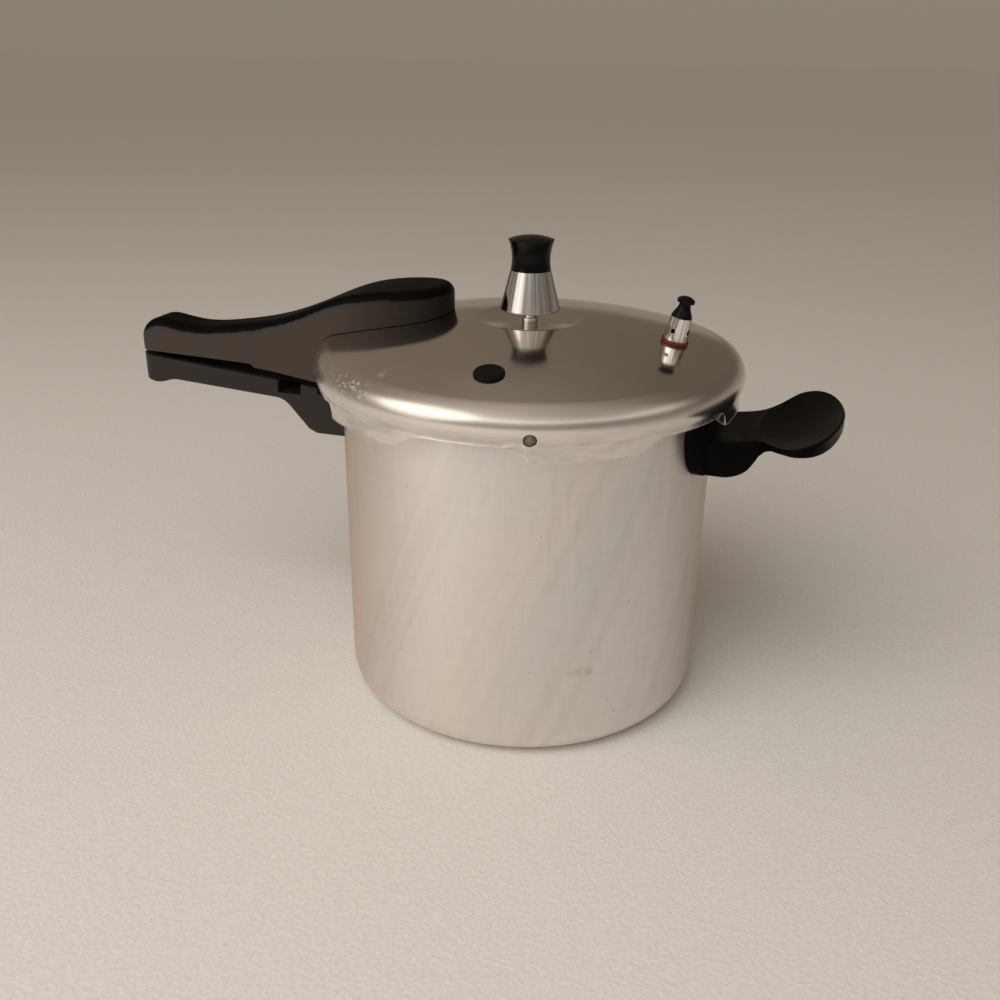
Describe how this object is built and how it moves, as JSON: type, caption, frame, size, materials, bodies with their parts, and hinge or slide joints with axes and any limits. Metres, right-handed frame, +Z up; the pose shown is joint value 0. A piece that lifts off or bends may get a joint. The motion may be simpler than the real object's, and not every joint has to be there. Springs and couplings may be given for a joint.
{
  "type": "stovetop pressure cooker",
  "caption": "Stovetop pressure cooker: tall round aluminium pot, domed bayonet lid with dished centre, lifting weight regulator, sprung safety valve, long split handle and winged helper handle.",
  "frame": {"origin": "middle of the pot's base, on the surface it stands on", "axes": "+Z up, +X towards the short helper handle, so the long handle points along -X; the overpressure plug is near -Y"},
  "size_m": [0.444, 0.2516, 0.2773],
  "materials": {
    "pot_aluminium": "satin, brushed round",
    "lid_aluminium": "satin, half polished",
    "handle_black": "satin moulded",
    "helper_black": "semi-gloss moulded",
    "black_cap": "gloss moulded",
    "chrome": "polished",
    "plug_rubber": "matt",
    "gasket_rubber": "matt",
    "red_silicone": "matt",
    "plain_steel": "plain",
    "brass": "plain"
  },
  "bodies": {
    "pot": {"pot_body": "pot_aluminium", "lower_handle": "handle_black", "helper_handle": "helper_black", "lower_handle_bracket": "plain_steel", "helper_handle_bracket": "plain_steel", "bracket_rivets": "plain_steel", "lower_handle_screw": "plain_steel", "helper_handle_screw": "plain_steel"},
    "lid": {"lid_shell": "lid_aluminium", "sealing_gasket": "gasket_rubber", "vent_pipe": "plain_steel", "vent_washer": "plain_steel", "vent_nut": "plain_steel", "overpressure_plug": "plug_rubber", "safety_valve_ring": "red_silicone", "safety_valve_body": "chrome", "safety_valve_spring": "plain_steel", "safety_valve_nut": "plain_steel", "lid_handle_screws": "plain_steel", "lid_handle_washers": "plain_steel", "lid_handle_inserts": "brass", "upper_handle": "handle_black"},
    "regulator": {"regulator_weight": "chrome", "regulator_needle": "plain_steel", "regulator_cap": "black_cap"},
    "safety_valve": {"safety_valve_stem": "plain_steel", "safety_valve_cap": "black_cap"}
  },
  "joints": [
    {"name": "lid_turn", "type": "hinge", "parent": "pot", "child": "lid", "pos_m": [0, 0, 0], "axis": [0, 0, 1], "range_deg": [0, 30]},
    {"name": "regulator_lift", "type": "slide", "parent": "lid", "child": "regulator", "axis": [0, 0, 1], "range_m": [0, 0.03]},
    {"name": "safety_valve_lift", "type": "slide", "parent": "lid", "child": "safety_valve", "axis": [0.1963, 0, 0.9805], "range_m": [0, 0.003], "stiffness_N_per_m": 1000, "springref_m": -0.006, "deforming": ["safety_valve_spring"]}
  ]
}
